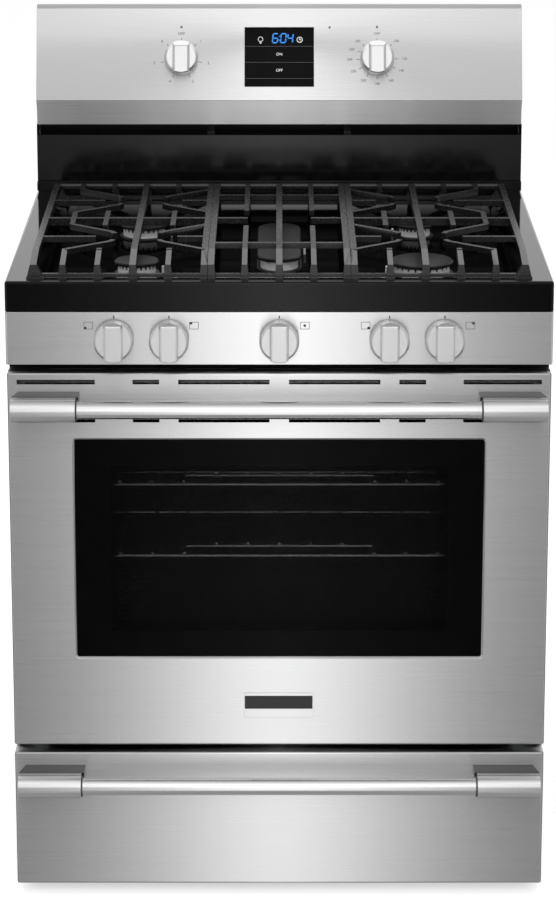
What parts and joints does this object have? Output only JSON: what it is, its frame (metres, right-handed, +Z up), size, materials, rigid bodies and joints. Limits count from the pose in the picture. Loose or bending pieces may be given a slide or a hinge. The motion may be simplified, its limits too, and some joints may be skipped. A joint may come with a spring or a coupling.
{
  "type": "freestanding gas range",
  "caption": "Freestanding stainless gas range: cast grates over sealed burners, front knobs, drop-down oven door with a window, storage drawer and a sloped rear control panel.",
  "frame": {"origin": "on the floor, under the centre of the overall box", "axes": "+Z up, the front with the door and its handle faces -Y, +X to the right of someone facing the front"},
  "size_m": [0.759, 0.725, 1.2],
  "materials": {
    "stainless": "satin",
    "knob_metal": "satin",
    "black_porcelain": "gloss",
    "body_paint": "satin",
    "oven_enamel": "gloss",
    "galvanised": "satin",
    "grate_iron": "matte",
    "burner_alloy": "satin",
    "cap_enamel": "matte",
    "rack_chrome": "polished",
    "brass": "satin",
    "valve_alloy": "satin",
    "tube_aluminium": "satin",
    "dark_glass": "polished",
    "clear_glass": "polished",
    "insulation_wool": "matte",
    "foot_plastic": "matte",
    "rubber": "matte",
    "igniter_ceramic": "gloss",
    "board": "satin",
    "motor_paint": "satin"
  },
  "bodies": {
    "chassis": {"base_pan": "body_paint", "levelling_feet": "foot_plastic", "side_panels": "body_paint", "front_frame": "black_porcelain", "oven_cavity": "oven_enamel", "oven_floor": "oven_enamel", "oven_burners": "galvanised", "rack_guides": "rack_chrome", "fan_cover": "oven_enamel", "fan_motor": "motor_paint", "oven_lamp": "clear_glass", "insulation": "insulation_wool", "flue_duct": "galvanised", "door_gasket": "insulation_wool", "rear_panel": "galvanised", "cord_gland": "rubber", "cooktop": "black_porcelain", "burner_heads": "burner_alloy", "burner_caps": "cap_enamel", "igniters": "igniter_ceramic", "manifold_panel": "stainless", "gas_manifold": "valve_alloy", "supply_tubes": "tube_aluminium", "rear_riser": "black_porcelain", "backguard_panel": "stainless", "display_window": "dark_glass", "control_board": "board", "hinge_arms": "galvanised", "drawer_rails": "galvanised"},
    "door": {"door_skin": "stainless", "door_window": "dark_glass", "door_inner_glass": "clear_glass", "door_liner": "oven_enamel", "door_top_trim": "body_paint", "door_hinges": "galvanised", "door_handle_bar": "stainless", "door_handle_brackets": "stainless"},
    "drawer": {"drawer_front": "stainless", "drawer_box": "body_paint", "drawer_runners": "galvanised", "drawer_handle_bar": "stainless", "drawer_handle_brackets": "stainless"},
    "left_grate": {"left_grate": "grate_iron"},
    "centre_grate": {"centre_grate": "grate_iron"},
    "right_grate": {"right_grate": "grate_iron"},
    "upper_rack": {"upper_rack": "rack_chrome"},
    "lower_rack": {"lower_rack": "rack_chrome"},
    "fan": {"fan_rotor": "burner_alloy"},
    "mode_knob": {"mode_knob": "knob_metal"},
    "temperature_knob": {"temperature_knob": "knob_metal"},
    "left_front_stem": {"left_front_valve_stem": "brass"},
    "left_front_knob": {"left_front_knob": "knob_metal"},
    "left_rear_stem": {"left_rear_valve_stem": "brass"},
    "left_rear_knob": {"left_rear_knob": "knob_metal"},
    "centre_stem": {"centre_valve_stem": "brass"},
    "centre_knob": {"centre_knob": "knob_metal"},
    "right_front_stem": {"right_front_valve_stem": "brass"},
    "right_front_knob": {"right_front_knob": "knob_metal"},
    "right_rear_stem": {"right_rear_valve_stem": "brass"},
    "right_rear_knob": {"right_rear_knob": "knob_metal"}
  },
  "joints": [
    {"name": "door_hinge", "type": "hinge", "parent": "chassis", "child": "door", "pos_m": [0, -0.2815, 0.246], "axis": [1, 0, 0], "range_deg": [0, 90], "stiffness_Nm_per_rad": 11, "springref_deg": -14.32},
    {"name": "drawer_slide", "type": "slide", "parent": "chassis", "child": "drawer", "axis": [0, -1, 0], "range_m": [0, 0.36]},
    {"name": "left_grate_lift", "type": "slide", "parent": "chassis", "child": "left_grate", "axis": [0, 0, 1], "range_m": [0, 0.15]},
    {"name": "centre_grate_lift", "type": "slide", "parent": "chassis", "child": "centre_grate", "axis": [0, 0, 1], "range_m": [0, 0.15]},
    {"name": "right_grate_lift", "type": "slide", "parent": "chassis", "child": "right_grate", "axis": [0, 0, 1], "range_m": [0, 0.15]},
    {"name": "upper_rack_slide", "type": "slide", "parent": "chassis", "child": "upper_rack", "axis": [0, -1, 0], "range_m": [0, 0.018]},
    {"name": "lower_rack_slide", "type": "slide", "parent": "chassis", "child": "lower_rack", "axis": [0, -1, 0], "range_m": [0, 0.018]},
    {"name": "fan_spin", "type": "hinge", "parent": "chassis", "child": "fan", "pos_m": [0, 0.2, 0.502], "axis": [0, -1, 0], "continuous": true},
    {"name": "left_front_knob_turn", "type": "hinge", "parent": "chassis", "child": "left_front_stem", "pos_m": [-0.229, -0.3025, 0.83275], "axis": [0, -1, 0], "range_deg": [0, 270]},
    {"name": "left_front_knob_push", "type": "slide", "parent": "left_front_stem", "child": "left_front_knob", "axis": [0, 1, 0], "range_m": [0, 0.003], "stiffness_N_per_m": 800},
    {"name": "left_rear_knob_turn", "type": "hinge", "parent": "chassis", "child": "left_rear_stem", "pos_m": [-0.1525, -0.3025, 0.83275], "axis": [0, -1, 0], "range_deg": [0, 270]},
    {"name": "left_rear_knob_push", "type": "slide", "parent": "left_rear_stem", "child": "left_rear_knob", "axis": [0, 1, 0], "range_m": [0, 0.003], "stiffness_N_per_m": 800},
    {"name": "centre_knob_turn", "type": "hinge", "parent": "chassis", "child": "centre_stem", "pos_m": [0, -0.3025, 0.83275], "axis": [0, -1, 0], "range_deg": [0, 270]},
    {"name": "centre_knob_push", "type": "slide", "parent": "centre_stem", "child": "centre_knob", "axis": [0, 1, 0], "range_m": [0, 0.003], "stiffness_N_per_m": 800},
    {"name": "right_front_knob_turn", "type": "hinge", "parent": "chassis", "child": "right_front_stem", "pos_m": [0.1525, -0.3025, 0.83275], "axis": [0, -1, 0], "range_deg": [0, 270]},
    {"name": "right_front_knob_push", "type": "slide", "parent": "right_front_stem", "child": "right_front_knob", "axis": [0, 1, 0], "range_m": [0, 0.003], "stiffness_N_per_m": 800},
    {"name": "right_rear_knob_turn", "type": "hinge", "parent": "chassis", "child": "right_rear_stem", "pos_m": [0.229, -0.3025, 0.83275], "axis": [0, -1, 0], "range_deg": [0, 270]},
    {"name": "right_rear_knob_push", "type": "slide", "parent": "right_rear_stem", "child": "right_rear_knob", "axis": [0, 1, 0], "range_m": [0, 0.003], "stiffness_N_per_m": 800},
    {"name": "mode_knob_turn", "type": "hinge", "parent": "chassis", "child": "mode_knob", "pos_m": [-0.1525, 0.32173, 1.11888], "axis": [0, 0.9459, -0.3245], "range_deg": [0, 300]},
    {"name": "temperature_knob_turn", "type": "hinge", "parent": "chassis", "child": "temperature_knob", "pos_m": [0.1525, 0.32173, 1.11888], "axis": [0, 0.9459, -0.3245], "range_deg": [0, 300]}
  ]
}
